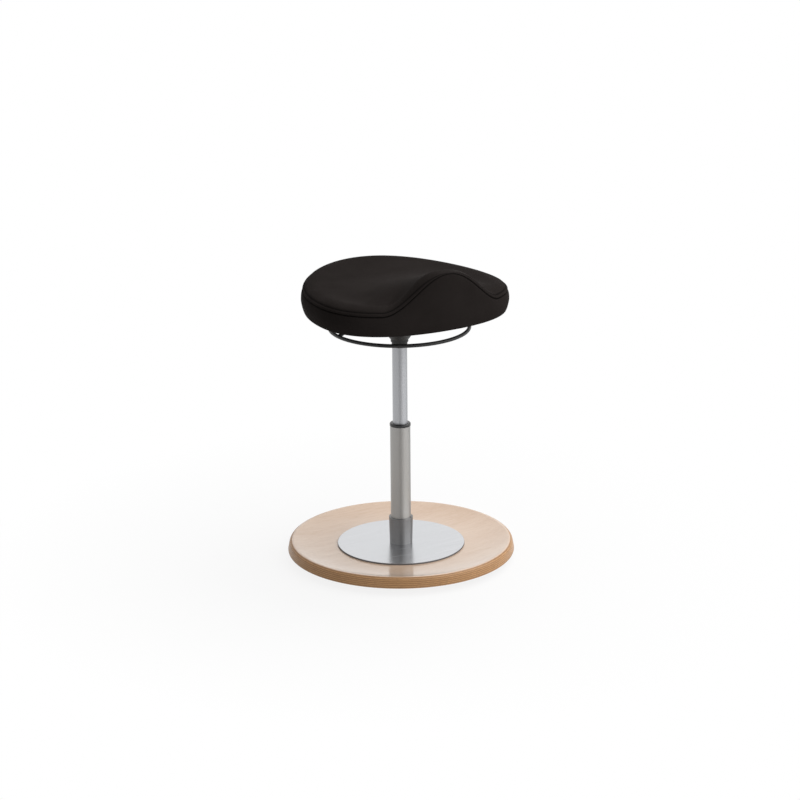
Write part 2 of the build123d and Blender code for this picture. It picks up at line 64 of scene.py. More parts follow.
def new_finish(name, colour, rough, metal=0.0):
    """A material with one Principled shader; gives the material, its tree and the shader."""
    material = bpy.data.materials.new(name)
    material.use_nodes = True
    tree = material.node_tree
    shader = tree.nodes["Principled BSDF"]
    shader.inputs["Base Color"].default_value = colour
    shader.inputs["Roughness"].default_value = rough
    shader.inputs["Metallic"].default_value = metal
    return material, tree, shader


def feed(tree, socket, value):
    """Link a socket to another, or set it."""
    if isinstance(value, bpy.types.NodeSocket):
        tree.links.new(value, socket)
    else:
        socket.default_value = value


def add_node(tree, kind, settings=None, **values):
    """A node of one kind, with its settings and its named inputs."""
    node = tree.nodes.new(kind)
    for key, value in (settings or {}).items():
        setattr(node, key, value)
    for key, value in values.items():
        feed(tree, node.inputs[key.replace("_", " ")], value)
    return node


def work_out(tree, operation, *values):
    """A Math node's result from one to three values or sockets."""
    node = add_node(tree, "ShaderNodeMath", {"operation": operation})
    for place, value in enumerate(values):
        feed(tree, node.inputs[place], value)
    return node.outputs[0]


def mix_colours(tree, share, first, second):
    """A colour between two others."""
    node = add_node(tree, "ShaderNodeMix", {"data_type": "RGBA"})
    for place, value in ((0, share), (6, first), (7, second)):
        feed(tree, node.inputs[place], value)
    return node.outputs[2]


def object_place(tree, scale=(1, 1, 1), turn=0.0):
    """Object coordinates, turned about the axis and stretched."""
    place = add_node(tree, "ShaderNodeTexCoord").outputs["Object"]
    values = {"Vector": place, "Scale": scale, "Rotation": (0, 0, turn)}
    return add_node(tree, "ShaderNodeMapping", **values).outputs[0]


def noise(tree, place, scale=1.0, detail=3.0, rough=0.5):
    """Soft noise at a place."""
    values = {"Vector": place, "Scale": scale, "Detail": detail, "Roughness": rough}
    return add_node(tree, "ShaderNodeTexNoise", **values).outputs[0]


def level(tree, value, low, high, to_low=0.0, to_high=1.0):
    """A value's range stretched to another range, and clamped."""
    values = {"Value": value, "From_Min": low, "From_Max": high, "To_Min": to_low, "To_Max": to_high}
    return add_node(tree, "ShaderNodeMapRange", **values).outputs[0]


def add_bump(tree, shader, height, depth, strength=1.0):
    """A bump from a height in the range 0 to 1, its depth in metres."""
    bump = add_node(tree, "ShaderNodeBump", Strength=strength, Distance=depth, Height=height)
    tree.links.new(bump.outputs[0], shader.inputs["Normal"])


def dress(material, *nodes):
    """The same finish on several CAD nodes."""
    for node in nodes:
        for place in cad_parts[node].material_slots:
            place.material = material


plywood, tree, shader = new_finish("lacquered_beech_plywood", VENEER_PALE, rough=0.34)
apart = add_node(tree, "ShaderNodeSeparateXYZ", Vector=object_place(tree))
across = add_node(tree, "ShaderNodeVectorMath", {"operation": "LENGTH"})
feed(tree, across.inputs[0], object_place(tree, (1, 1, 0)))
past_flat = work_out(tree, "SUBTRACT", across.outputs["Value"], DISH_FLAT_RADIUS)
beyond = work_out(tree, "MAXIMUM", past_flat, 0.0)
below = work_out(tree, "SUBTRACT", DISH_TOP_HEIGHT + DISH_BEND_RADIUS, apart.outputs["Z"])
squares = work_out(tree, "MULTIPLY_ADD", beyond, beyond, work_out(tree, "MULTIPLY", below, below))
waver = level(tree, noise(tree, object_place(tree, (9, 9, 30))), 0.3, 0.7, -PLY_WAVER, PLY_WAVER)
from_face = work_out(tree, "SUBTRACT", work_out(tree, "SQRT", squares), DISH_BEND_RADIUS)
depth = work_out(tree, "ADD", from_face, waver)
layer = work_out(tree, "DIVIDE", depth, PLY_THICKNESS)
odd_ply = work_out(tree, "FLOORED_MODULO", work_out(tree, "FLOOR", layer), 2.0)
glue = work_out(tree, "LESS_THAN", work_out(tree, "PINGPONG", layer, 0.5), GLUE_SHARE / 2)
on_edge = level(tree, depth, FACE_VENEER_FROM, FACE_VENEER_TO)
grain = noise(tree, object_place(tree, GRAIN_SCALE, GRAIN_TURN), scale=1.0, detail=6.0, rough=0.62)
bands = noise(tree, object_place(tree, BAND_SCALE, GRAIN_TURN))
specks = noise(tree, object_place(tree, FLECK_SCALE, GRAIN_TURN), scale=1.0, detail=2.0)
flecks = level(tree, specks, 0.60, 0.74)
face = mix_colours(tree, level(tree, bands, 0.35, 0.68), VENEER_PALE, VENEER_WARM)
face = mix_colours(tree, level(tree, grain, 0.42, 0.75, 0.0, 0.28), face, PLY_END_GRAIN)
face = mix_colours(tree, work_out(tree, "MULTIPLY", flecks, 0.18), face, PLY_GLUE)
streaks = noise(tree, object_place(tree, EDGE_STREAK_SCALE), scale=1.0, detail=4.0)
plies = mix_colours(tree, odd_ply, PLY_LONG_GRAIN, PLY_END_GRAIN)
plies = mix_colours(tree, level(tree, streaks, 0.35, 0.8, 0.0, 0.45), plies, PLY_GLUE)
plies = mix_colours(tree, work_out(tree, "MULTIPLY", glue, 0.9), plies, PLY_GLUE)
feed(tree, shader.inputs["Base Color"], mix_colours(tree, on_edge, face, plies))
feed(tree, shader.inputs["Roughness"], level(tree, grain, 0.3, 0.8, 0.30, 0.42))
feed(tree, shader.inputs["Coat Weight"], level(tree, on_edge, 0.0, 1.0, 1.0, 0.05))
shader.inputs["Coat Roughness"].default_value = 0.10
shader.inputs["Coat IOR"].default_value = 1.6
shader.inputs["Specular IOR Level"].default_value = 0.2
add_bump(tree, shader, grain, depth=0.00008, strength=0.5)
dress(plywood, "rocker_base")


# Rubber floor ring and the gas spring's rubber pieces: black moulded rubber with a dull skin.
# The ring is pressed in a groove under the dish's flat middle and stands a little proud of it.
RUBBER_BLACK = (0.020, 0.020, 0.021, 1)
RUBBER_DUSTY = (0.042, 0.041, 0.040, 1)
rubber, tree, shader = new_finish("black_rubber", RUBBER_BLACK, rough=0.78)
dust = noise(tree, object_place(tree), scale=140.0, detail=4.0)
feed(tree, shader.inputs["Roughness"], level(tree, dust, 0.3, 0.75, 0.70, 0.88))
dusty = mix_colours(tree, level(tree, dust, 0.45, 0.8, 0.0, 0.5), RUBBER_BLACK, RUBBER_DUSTY)
feed(tree, shader.inputs["Base Color"], dusty)
dull_skin = noise(tree, object_place(tree), scale=900.0, detail=2.0)
add_bump(tree, shader, dull_skin, depth=0.00015, strength=0.6)
dress(rubber, "floor_ring", "bump_stop", "rod_seal", "piston_ring")


# Zinc-plated fasteners and small turned steel: screws, bolts, tee nuts, races, clip and pins.
# Each is turned or stamped, and the plating leaves a cool grey with a faint cloudiness.
ZINC_DARK = (0.47, 0.48, 0.50, 1)
ZINC_PALE = (0.62, 0.62, 0.60, 1)
zinc, tree, shader = new_finish("zinc_plated_steel", ZINC_DARK, rough=0.36, metal=1.0)
cloud = noise(tree, object_place(tree), scale=70.0, detail=5.0)
cloudy = mix_colours(tree, level(tree, cloud, 0.35, 0.7), ZINC_DARK, ZINC_PALE)
feed(tree, shader.inputs["Base Color"], cloudy)
feed(tree, shader.inputs["Roughness"], level(tree, cloud, 0.3, 0.75, 0.28, 0.46))
dress(zinc, "base_screws", "seat_bolts", "tee_nuts", "foot_disc", "lower_race", "upper_race", "rod_clip",
      "piston_nut", "pivot_pin", "release_pin")


# Base plate: a laser-cut steel disc, finely brushed one way and clear-coated.
# It lies flat on the dish's middle and mirrors the collar that stands on it.
PLATE_PALE = (0.68, 0.69, 0.71, 1)
PLATE_DARK = (0.60, 0.61, 0.63, 1)
PLATE_EDGE = (0.16, 0.16, 0.165, 1)
BRUSH_SCALE = (9, 700, 1)
BRUSH_TURN = math.radians(-30)
EDGE_ROUGHER = 0.3
plate_steel, tree, shader = new_finish("brushed_plate_steel", PLATE_PALE, rough=0.2, metal=1.0)
brush = noise(tree, object_place(tree, BRUSH_SCALE, BRUSH_TURN), scale=1.0, detail=3.0, rough=0.6)
smears = noise(tree, object_place(tree), scale=9.0, detail=2.0)
patches = work_out(tree, "MULTIPLY_ADD", smears, 0.3, brush)
facing = add_node(tree, "ShaderNodeTexCoord").outputs["Normal"]
upward = add_node(tree, "ShaderNodeSeparateXYZ", Vector=facing).outputs["Z"]
on_edge = level(tree, upward, 0.98, 0.90)
brushed = mix_colours(tree, level(tree, brush, 0.3, 0.75), PLATE_DARK, PLATE_PALE)
feed(tree, shader.inputs["Base Color"], mix_colours(tree, on_edge, brushed, PLATE_EDGE))
rough = level(tree, patches, 0.4, 1.0, 0.20, 0.30)
feed(tree, shader.inputs["Roughness"], work_out(tree, "MULTIPLY_ADD", on_edge, EDGE_ROUGHER, rough))
add_bump(tree, shader, brush, depth=0.00001, strength=0.2)
dress(plate_steel, "base_plate")


# Column collar: turned steel, welded on the plate and bored to the tube's taper.
# The tool leaves fine rings round it, and it is darker than the tube.
COLLAR_DARK = (0.15, 0.15, 0.154, 1)
COLLAR_PALE = (0.21, 0.208, 0.205, 1)


def ringed_metal(name, dark, pale, fineness, rough, spread):
    """Metal turned or polished round its axis: fine rings that draw a highlight out along it."""
    finish, tree, shader = new_finish(name, pale, rough, metal=1.0)
    rings = noise(tree, object_place(tree, (5, 5, fineness)), scale=1.0, detail=4.0)
    feed(tree, shader.inputs["Base Color"], mix_colours(tree, level(tree, rings, 0.3, 0.7), dark, pale))
    feed(tree, shader.inputs["Roughness"], level(tree, rings, 0.3, 0.75, rough - 0.04, rough + 0.04))
    round_axis = add_node(tree, "ShaderNodeTangent", {"direction_type": "RADIAL", "axis": "Z"})
    feed(tree, shader.inputs["Tangent"], round_axis.outputs[0])
    shader.inputs["Anisotropic"].default_value = spread
    shader.inputs["Anisotropic Rotation"].default_value = 0.25
    add_bump(tree, shader, rings, depth=0.00001, strength=0.3)
    return finish


dress(ringed_metal("turned_collar_steel", COLLAR_DARK, COLLAR_PALE, 2600, 0.36, 0.85), "column_collar")


# Standing tube: drawn steel with a satin nickel finish, polished round.
# Its foot is pressed in the collar's taper, and its mouth holds the guide bush.
TUBE_DARK = (0.33, 0.325, 0.315, 1)
TUBE_PALE = (0.38, 0.372, 0.36, 1)
dress(ringed_metal("satin_tube_steel", TUBE_DARK, TUBE_PALE, 1900, 0.44, 0.85), "column_tube")


# Gas tube and piston rod: ground, hard-chromed steel, cool in colour.
# The tube slides in the bush; the rod stands on the bearing inside the standing tube.
CHROME_DARK = (0.38, 0.386, 0.40, 1)
CHROME_PALE = (0.42, 0.428, 0.445, 1)
dress(ringed_metal("satin_chrome", CHROME_DARK, CHROME_PALE, 2400, 0.36, 0.9), "gas_tube", "piston_rod")


# Guide bush and the plastic inside the column: black moulded nylon, glossy on the flange.
# The bush snaps in the standing tube's mouth, and its flange lies on the tube's end.
NYLON_BLACK = (0.012, 0.012, 0.013, 1)
nylon, tree, shader = new_finish("black_nylon", NYLON_BLACK, rough=0.2)
flow = noise(tree, object_place(tree), scale=60.0, detail=3.0)
feed(tree, shader.inputs["Roughness"], level(tree, flow, 0.3, 0.7, 0.14, 0.26))
moulded_skin = noise(tree, object_place(tree), scale=500.0, detail=2.0)
add_bump(tree, shader, moulded_skin, depth=0.00003, strength=0.4)
dress(nylon, "guide_bush", "bearing_cage", "rod_guide", "piston")


# Valve block: machined brass in the gas tube's tip.
# It is turned round and bored for the release pin.
BRASS_DARK = (0.52, 0.37, 0.14, 1)
BRASS_PALE = (0.64, 0.48, 0.20, 1)
dress(ringed_metal("machined_brass", BRASS_DARK, BRASS_PALE, 2200, 0.32, 0.6), "valve_body")


# Hub, seat plate and release ring: steel with a fine black powder coat.
# The ring is one bent wire with two arms, welded to the plate over the valve pin.
POWDER_BLACK = (0.013, 0.013, 0.0128, 1)
POWDER_GREY = (0.021, 0.021, 0.0205, 1)
powder, tree, shader = new_finish("black_powder_coat", POWDER_BLACK, rough=0.46)
wear = noise(tree, object_place(tree), scale=24.0, detail=4.0)
feed(tree, shader.inputs["Roughness"], level(tree, wear, 0.3, 0.75, 0.40, 0.56))
worn = mix_colours(tree, level(tree, wear, 0.35, 0.75), POWDER_BLACK, POWDER_GREY)
feed(tree, shader.inputs["Base Color"], worn)
shader.inputs["Specular IOR Level"].default_value = 0.35
powder_grain = noise(tree, object_place(tree), scale=420.0, detail=3.0)
add_bump(tree, shader, powder_grain, depth=0.0001, strength=0.5)
dress(powder, "cone_socket", "hub_bell", "seat_plate", "trigger_plate", "release_ring")


# Seat board: raw birch plywood, cut to the seat's outline and bored for the tee nuts.
# The cushion and the liner hide it but for its bolt holes.
BOARD_PALE = (0.60, 0.45, 0.30, 1)
BOARD_DARK = (0.44, 0.31, 0.19, 1)
board_ply, tree, shader = new_finish("raw_board_plywood", BOARD_PALE, rough=0.7)
grain = noise(tree, object_place(tree, (18, 260, 700)), scale=1.0, detail=5.0)
streaked = mix_colours(tree, level(tree, grain, 0.35, 0.7), BOARD_PALE, BOARD_DARK)
feed(tree, shader.inputs["Base Color"], streaked)
add_bump(tree, shader, grain, depth=0.0001, strength=0.5)
dress(board_ply, "seat_board")


# Cushion: moulded foam under a black leather cover, cut as a saddle-shaped top and a border.
# The two are sewn in a seam that runs level round the sides and arches up over the raised front;
# the cover's hem is turned in under the board. The foam presses the cover out between its seams.
SEAT_LOW = 0.4833
SEAT_FORWARD = 0.0351
SEAT_HALF_WIDTH = 0.1898
SEAT_REAR_REACH = 0.2238
SEAT_FRONT_REACH = 0.1617
SEAT_CORNER_POWER = 2.831
TUCK = 0.0068
TUCK_START = 0.003
TUCK_HEIGHT = 0.0205
SEAM_SIDE = 0.5205
SEAM_REAR_RISE = 0.0105
SEAM_REAR_POWER = 3.5
SEAM_FRONT_RISE = 0.0698
SEAM_INSET = 0.0024
SEAM_GROOVE = 0.0022
SEAM_HALF = 0.0014
POMMEL_RISE = 0.0630
POMMEL_HALF = 0.1240
RIDGE_HALF = 0.1380
POMMEL_FRONT = -0.185
POMMEL_REAR = 0.075
POMMEL_EASE = 0.10
RIDGE_ROUNDNESS = 1.6
SEAM_ROUNDNESS = 1.7
SHOULDER_START = 0.09
SHOULDER_WIDTH = 0.0280
SHOULDER_RISE = 0.0148
SHOULDER_FRONT_RISE = 0.0008
SHOULDER_FLANK_RISE = 0.0040
DISH_DEPTH = 0.007
STITCH_ROW = 3
STITCH_DENT = 0.0010
# Painted shade: the leather on the seam row and on the topstitch row is darkened by these shares,
# standing in for the shadow in their grooves.
SEAM_PAINTED_SHADE = 1.0
STITCH_PAINTED_SHADE = 0.6
HEM_INSET = 0.0180
HEM_RISE = 0.0017
HEM_FOLD = 0.002
HEM_FOLD_RISE = 0.0003
COLUMNS = 240
HEM_ROWS = 3
TUCK_ROWS = 6
WALL_ROWS = 10
SHOULDER_ROWS = 12
TOP_ROWS = 24
FOAM_PRESSURE = 4.0
FOAM_FRAMES = 20
FOAM_MOST = 0.0020
LEATHER_DARK = (0.0168, 0.0140, 0.0130, 1)
LEATHER_PALE = (0.0222, 0.0187, 0.0175, 1)
# Colour of the painted shade in the seam and topstitch grooves.
LEATHER_PAINTED_SHADE = (0.0015, 0.0013, 0.0012, 1)
PORE_SCALE = 620.0


def seat_reach(turn):
    """Plan reach of the seat from its own middle; turn 0 is the front."""
    oval = math.hypot(math.sin(turn) / SEAT_HALF_WIDTH, math.cos(turn) / SEAT_REAR_REACH)
    flat = max(math.cos(turn), 0.0) / SEAT_FRONT_REACH
    return (oval ** SEAT_CORNER_POWER + flat ** SEAT_CORNER_POWER) ** (-1 / SEAT_CORNER_POWER)


def seat_point(turn, inset, height):
    """A point of the cushion at a turn, inside the widest outline by an inset."""
    reach = seat_reach(turn) - inset
    return Vector((reach * math.sin(turn), -SEAT_FORWARD - reach * math.cos(turn), height))


def arch(aside, half, power):
    """The raised front's share at a distance from the middle line."""
    return max(0.0, math.cos(math.pi / 2 * min(1.0, abs(aside) / half))) ** power


def front_share(turn):
    """The raised front's share at the seat's edge, all round."""
    aside = seat_reach(turn) * math.sin(turn)
    return arch(aside, POMMEL_HALF, SEAM_ROUNDNESS) if math.cos(turn) > 0 else 0.0


def seam_height(turn):
    """Height of the seam between border and top, all round."""
    rear = max(0.0, -math.cos(turn))
    rear_rise = SEAM_REAR_RISE * rear ** SEAM_REAR_POWER
    return SEAM_SIDE + rear_rise + SEAM_FRONT_RISE * front_share(turn)


def saddle_height(x, y):
    """The sitting surface: rear rim, dished middle and a ridge that rises to the front."""
    rear = max(y, 0.0) / (SEAT_REAR_REACH - SEAT_FORWARD)
    share = min(1.0, max(0.0, (POMMEL_REAR - y) / (POMMEL_REAR - POMMEL_FRONT)))
    ridge = (1 + POMMEL_EASE) * share ** 2 / (share + POMMEL_EASE)
    middle = max(0.0, 1 - (x * x + (y + SEAT_FORWARD) ** 2) / SEAT_HALF_WIDTH ** 2)
    rise = SEAM_REAR_RISE * rear ** SEAM_REAR_POWER
    rise += POMMEL_RISE * ridge * arch(x, RIDGE_HALF, RIDGE_ROUNDNESS)
    return SEAM_SIDE + SHOULDER_RISE + rise - DISH_DEPTH * middle


def shoulder_point(turn, row):
    """A point of the rounded shoulder, from just above the seam to the sitting surface."""
    bend = math.pi / 2 * (SHOULDER_START + (1 - SHOULDER_START) * row / (SHOULDER_ROWS - 1))
    dent = STITCH_DENT if row == STITCH_ROW else 0.0
    inset = SEAM_INSET + SHOULDER_WIDTH * (1 - math.cos(bend)) + dent
    front = front_share(turn)
    rise = SHOULDER_RISE + (SHOULDER_FRONT_RISE - SHOULDER_RISE) * front ** 3
    rise += SHOULDER_FLANK_RISE * 4 * front * (1 - front)
    return seat_point(turn, inset, seam_height(turn) + rise * math.sin(bend) - dent)


def cushion_column(turn):
    """One column of points from the hem, up the border and over the shoulder to the middle."""
    seam = seam_height(turn)
    wall_low = SEAT_LOW + TUCK_HEIGHT
    column = [seat_point(turn, HEM_INSET, SEAT_LOW + HEM_RISE)]
    column.append(seat_point(turn, HEM_INSET - HEM_FOLD, SEAT_LOW + HEM_FOLD_RISE))
    column.append(seat_point(turn, TUCK + TUCK_START, SEAT_LOW))
    for step in range(TUCK_ROWS + 1):
        bend = math.pi / 2 * step / TUCK_ROWS
        tucked = (1 - math.sin(bend) + math.cos(bend)) / 2
        column.append(seat_point(turn, TUCK * tucked, wall_low - TUCK_HEIGHT * math.cos(bend)))
    for step in range(1, WALL_ROWS + 1):
        share = step / WALL_ROWS
        height = wall_low + (seam - SEAM_HALF - wall_low) * share
        column.append(seat_point(turn, SEAM_INSET * share ** 3, height))
    column.append(seat_point(turn, SEAM_INSET + SEAM_GROOVE, seam))
    for row in range(SHOULDER_ROWS):
        column.append(shoulder_point(turn, row))
    rim = column[-1]
    step_up = rim.z - saddle_height(rim.x, rim.y)
    for step in range(1, TOP_ROWS):
        share = 1 - step / TOP_ROWS
        x, y = rim.x * share, -SEAT_FORWARD + (rim.y + SEAT_FORWARD) * share
        column.append(Vector((x, y, saddle_height(x, y) + step_up * share ** 3)))
    return column


def mesh_object(name, form, material):
    """A smooth-shaded object from a mesh under construction."""
    bmesh.ops.recalc_face_normals(form, faces=form.faces)
    for face in form.faces:
        face.smooth = True
    mesh = bpy.data.meshes.new(name)
    form.to_mesh(mesh)
    form.free()
    mesh.materials.append(material)
    piece = bpy.data.objects.new(name, mesh)
    bpy.context.collection.objects.link(piece)
    return piece


def settle(piece):
    """Apply a piece's modifiers to its mesh."""
    graph = bpy.context.evaluated_depsgraph_get()
    piece.data = bpy.data.meshes.new_from_object(piece.evaluated_get(graph))
    piece.modifiers.clear()


def fill_with_foam(piece, sewn):
    """Press the cover out with a cloth simulation, held at its sewn rows, to a set fullness."""
    before = [(vertex.co.copy(), vertex.normal.copy()) for vertex in piece.data.vertices]
    piece.vertex_groups.new(name="sewn").add(sewn, 1.0, "REPLACE")
    cloth = piece.modifiers.new("foam", "CLOTH")
    cloth.settings.vertex_group_mass = "sewn"
    cloth.settings.use_pressure = True
    cloth.settings.uniform_pressure_force = FOAM_PRESSURE
    cloth.settings.effector_weights.gravity = 0.0
    cloth.point_cache.frame_end = FOAM_FRAMES
    for moment in range(1, FOAM_FRAMES + 1):
        bpy.context.scene.frame_set(moment)
    settle(piece)
    bpy.context.scene.frame_set(1)
    lifts = [max(0.0, (vertex.co - start).dot(normal))
             for vertex, (start, normal) in zip(piece.data.vertices, before)]
    for vertex, lift, (start, normal) in zip(piece.data.vertices, lifts, before):
        vertex.co = start + normal * (FOAM_MOST * lift / max(lifts))


leather, tree, shader = new_finish("black_leather", LEATHER_DARK, rough=0.55)
cells = add_node(tree, "ShaderNodeTexVoronoi", {"feature": "DISTANCE_TO_EDGE"}, Scale=PORE_SCALE)
feed(tree, cells.inputs["Vector"], object_place(tree))
pores = work_out(tree, "MULTIPLY", level(tree, cells.outputs[0], 0.0, 0.12), 0.6)
wrinkles = noise(tree, object_place(tree), scale=260.0, detail=4.0)
grain = work_out(tree, "MULTIPLY_ADD", wrinkles, 0.4, pores)
patches = level(tree, noise(tree, object_place(tree), scale=14.0), 0.3, 0.75)
# Painted shade: the seam and topstitch rows are darkened towards a near-black colour, standing in for
# the shadow in the grooves.
painted_groove_shade = add_node(tree, "ShaderNodeAttribute", {"attribute_name": "groove_shade_weight"}).outputs["Fac"]
skin = mix_colours(tree, patches, LEATHER_DARK, LEATHER_PALE)
feed(tree, shader.inputs["Base Color"], mix_colours(tree, painted_groove_shade, skin, LEATHER_PAINTED_SHADE))
feed(tree, shader.inputs["Roughness"], level(tree, grain, 0.2, 0.9, 0.62, 0.50))
shader.inputs["Specular IOR Level"].default_value = 0.002
add_bump(tree, shader, grain, depth=0.00018, strength=0.55)

turns = [2 * math.pi * step / COLUMNS for step in range(COLUMNS)]
form = bmesh.new()
grid = [[form.verts.new(point) for point in cushion_column(turn)] for turn in turns]
top_middle = form.verts.new((0, -SEAT_FORWARD, saddle_height(0, -SEAT_FORWARD)))
low_middle = form.verts.new((0, -SEAT_FORWARD, SEAT_LOW + HEM_RISE))
for here in range(COLUMNS):
    this, ahead = grid[here], grid[(here + 1) % COLUMNS]
    for row in range(len(this) - 1):
        form.faces.new((this[row], ahead[row], ahead[row + 1], this[row + 1]))
    form.faces.new((this[-1], ahead[-1], top_middle))
    form.faces.new((ahead[0], this[0], low_middle))
cushion = mesh_object("cushion_cover", form, leather)
rows = len(cushion_column(0))
low_middle_place = COLUMNS * rows + 1
seam_row = HEM_ROWS + TUCK_ROWS + 1 + WALL_ROWS
# Weights of the painted groove shade: full on the seam row, partial on the topstitch row.
groove_shade_weight = cushion.data.attributes.new("groove_shade_weight", "FLOAT", "POINT")
for column in range(COLUMNS):
    groove_shade_weight.data[column * rows + seam_row].value = SEAM_PAINTED_SHADE
    groove_shade_weight.data[column * rows + seam_row + 1 + STITCH_ROW].value = STITCH_PAINTED_SHADE
sewn_rows = [*range(HEM_ROWS + 1), seam_row]
sewn = [column * rows + row for column in range(COLUMNS) for row in sewn_rows]
sewn.append(low_middle_place)
fill_with_foam(cushion, sewn)
finer = cushion.modifiers.new("finer", "SUBSURF")
finer.levels = 1
finer.render_levels = 1
settle(cushion)
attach(cushion, "seat")
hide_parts("seat_cushion")


# Topstitch: black thread that runs round the cover a little above the seam, in short stitches.
# Each stitch is a flat bead of thread drawn down in the leather.
STITCH_PITCH = 0.0044
STITCH_LENGTH = 0.0034
STITCH_THICKNESS = 0.0008
STITCH_PROUD = 0.0001
THREAD_DARK = (0.004, 0.004, 0.004, 1)
THREAD_PALE = (0.010, 0.009, 0.009, 1)
thread, tree, shader = new_finish("black_thread", THREAD_DARK, rough=0.7)
twist = add_node(tree, "ShaderNodeTexWave", Vector=object_place(tree), Scale=900.0, Distortion=2.0)
strands = mix_colours(tree, twist.outputs["Fac"], THREAD_DARK, THREAD_PALE)
feed(tree, shader.inputs["Base Color"], strands)
shader.inputs["Specular IOR Level"].default_value = 0.01
add_bump(tree, shader, twist.outputs["Fac"], depth=0.0001, strength=0.6)

surface = BVHTree.FromPolygons([vertex.co for vertex in cushion.data.vertices],
                               [face.vertices for face in cushion.data.polygons])
path = bpy.data.curves.new("topstitch_path", "CURVE")
path.dimensions = "3D"
line = path.splines.new("POLY")
line.points.add(COLUMNS - 1)
line.use_cyclic_u = True
for point, turn in zip(line.points, turns):
    spot, outward, _, _ = surface.find_nearest(shoulder_point(turn, STITCH_ROW))
    point.co = (*(spot + outward * STITCH_PROUD), 1)
stitch_path = bpy.data.objects.new("topstitch_path", path)
bpy.context.collection.objects.link(stitch_path)

nodes = bpy.data.node_groups.new("stitches_on_path", "GeometryNodeTree")
nodes.interface.new_socket("Path", in_out="INPUT", socket_type="NodeSocketGeometry")
stitch_sizes = {"Pitch": STITCH_PITCH, "Length": STITCH_LENGTH, "Thickness": STITCH_THICKNESS}
identifiers = {}
for name in stitch_sizes:
    socket = nodes.interface.new_socket(name, in_out="INPUT", socket_type="NodeSocketFloat")
    identifiers[name] = socket.identifier
nodes.interface.new_socket("Stitches", in_out="OUTPUT", socket_type="NodeSocketGeometry")
given = nodes.nodes.new("NodeGroupInput")
result = nodes.nodes.new("NodeGroupOutput")
spaced = add_node(nodes, "GeometryNodeResampleCurve", {"mode": "LENGTH"}, Curve=given.outputs["Path"],
                  Length=given.outputs["Pitch"])
along = add_node(nodes, "GeometryNodeInputTangent")
facing = add_node(nodes, "FunctionNodeAlignRotationToVector", {"axis": "X"}, Vector=along.outputs[0])
half_length = work_out(nodes, "MULTIPLY", given.outputs["Length"], 0.5)
half_thick = work_out(nodes, "MULTIPLY", given.outputs["Thickness"], 0.5)
size = add_node(nodes, "ShaderNodeCombineXYZ", X=half_length, Y=half_thick, Z=half_thick)
bead = add_node(nodes, "GeometryNodeMeshUVSphere", Segments=8, Rings=6, Radius=1.0)
placed = add_node(nodes, "GeometryNodeInstanceOnPoints", Points=spaced.outputs[0],
                  Instance=bead.outputs[0], Rotation=facing.outputs[0], Scale=size.outputs[0])
real = add_node(nodes, "GeometryNodeRealizeInstances", Geometry=placed.outputs[0])
coloured = add_node(nodes, "GeometryNodeSetMaterial", Geometry=real.outputs[0], Material=thread)
nodes.links.new(coloured.outputs[0], result.inputs["Stitches"])

sewing = stitch_path.modifiers.new("sewing", "NODES")
sewing.node_group = nodes
for name, value in stitch_sizes.items():
    sewing[identifiers[name]] = value
graph = bpy.context.evaluated_depsgraph_get()
stitch_mesh = bpy.data.meshes.new_from_object(stitch_path.evaluated_get(graph))
stitch_path.modifiers.clear()
bpy.data.objects.remove(stitch_path)
topstitch = bpy.data.objects.new("topstitch", stitch_mesh)
bpy.context.collection.objects.link(topstitch)
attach(topstitch, "seat")


# Liner: thin black non-woven cloth over the board's underside, cut out round the seat plate.
# It is stapled to the board inside the cover's hem and hangs a little between its edges.
LINER_INSET = 0.0195
LINER_HEIGHT = 0.4847
LINER_THICKNESS = 0.0006
LINER_SQUARE = 0.0895
LINER_SQUARENESS = 9.0
LINER_ROWS = 10
LINER_SAG = 0.0009
LINER_WAVES = 7
LINER_WAVE_SHARE = 0.5
LINER_BLACK = (0.010, 0.010, 0.011, 1)
LINER_GREY = (0.034, 0.034, 0.035, 1)


def liner_point(turn, share):
    """A point of the liner between its cut-out at 0 and its outer edge at 1."""
    outer = seat_point(turn, LINER_INSET, LINER_HEIGHT)
    side, ahead = Vector((outer.x, outer.y)).normalized()
    corner = abs(side) ** LINER_SQUARENESS + abs(ahead) ** LINER_SQUARENESS
    reach = LINER_SQUARE * corner ** (-1 / LINER_SQUARENESS)
    inner = Vector((reach * side, reach * ahead, LINER_HEIGHT))
    wave = 1 + LINER_WAVE_SHARE * math.sin(LINER_WAVES * turn)
    sag = LINER_SAG * math.sin(math.pi * share) * wave
    return inner.lerp(outer, share) - Vector((0, 0, sag))


liner_cloth, tree, shader = new_finish("black_liner_cloth", LINER_BLACK, rough=0.9)
fibres = noise(tree, object_place(tree), scale=700.0, detail=5.0, rough=0.7)
fibrous = mix_colours(tree, level(tree, fibres, 0.35, 0.7), LINER_BLACK, LINER_GREY)
feed(tree, shader.inputs["Base Color"], fibrous)
add_bump(tree, shader, fibres, depth=0.0002, strength=0.7)
form = bmesh.new()
shares = [step / LINER_ROWS for step in range(LINER_ROWS + 1)]
grid = [[form.verts.new(liner_point(turn, share)) for share in shares] for turn in turns]
for here in range(COLUMNS):
    this, ahead = grid[here], grid[(here + 1) % COLUMNS]
    for row in range(LINER_ROWS):
        form.faces.new((this[row], ahead[row], ahead[row + 1], this[row + 1]))
liner_area = sum(face.calc_area() for face in form.faces)
liner = mesh_object("underside_liner", form, liner_cloth)
thick = liner.modifiers.new("cloth_thickness", "SOLIDIFY")
thick.thickness = LINER_THICKNESS
thick.offset = 0.0
settle(liner)
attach(liner, "seat")
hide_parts("seat_liner")


